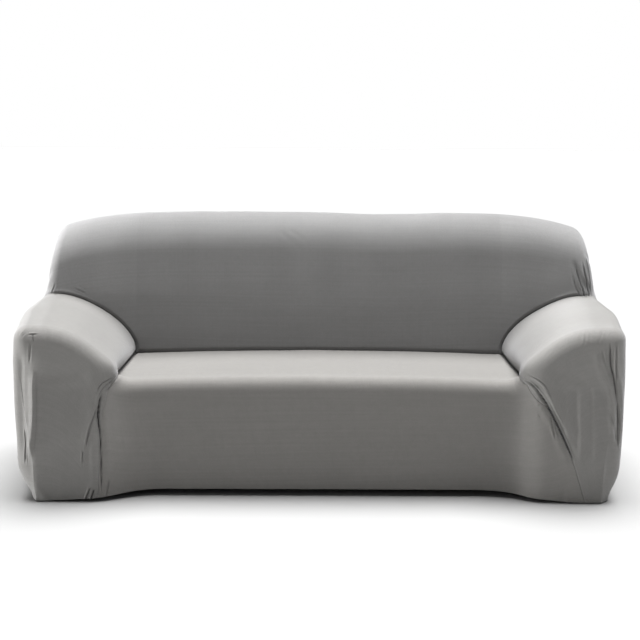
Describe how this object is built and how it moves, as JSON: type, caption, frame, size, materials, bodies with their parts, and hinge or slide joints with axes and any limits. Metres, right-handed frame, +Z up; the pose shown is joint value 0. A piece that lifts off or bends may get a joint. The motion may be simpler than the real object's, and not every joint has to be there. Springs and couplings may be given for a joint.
{
  "type": "sofa slipcover",
  "caption": "Fitted stretch-knit cover for a three-seat sofa, hollow, with a seat and front, back, rear and arm panels and a tucked hem.",
  "frame": {"origin": "under the cloth at the middle of the back's top, where the sofa's back carries the cover", "axes": "+X to the right as seen from the front, +Y from the seat's front to the rear, +Z up"},
  "size_m": [2.2595, 0.9472, 0.9701],
  "materials": {
    "grey_jersey": "matte fine knit with a soft sheen"
  },
  "bodies": {
    "root": {"inside_back_panel": "grey_jersey", "seat_front_panel": "grey_jersey", "left_arm_panel": "grey_jersey", "right_arm_panel": "grey_jersey", "outside_back_panel": "grey_jersey"}
  },
  "joints": []
}
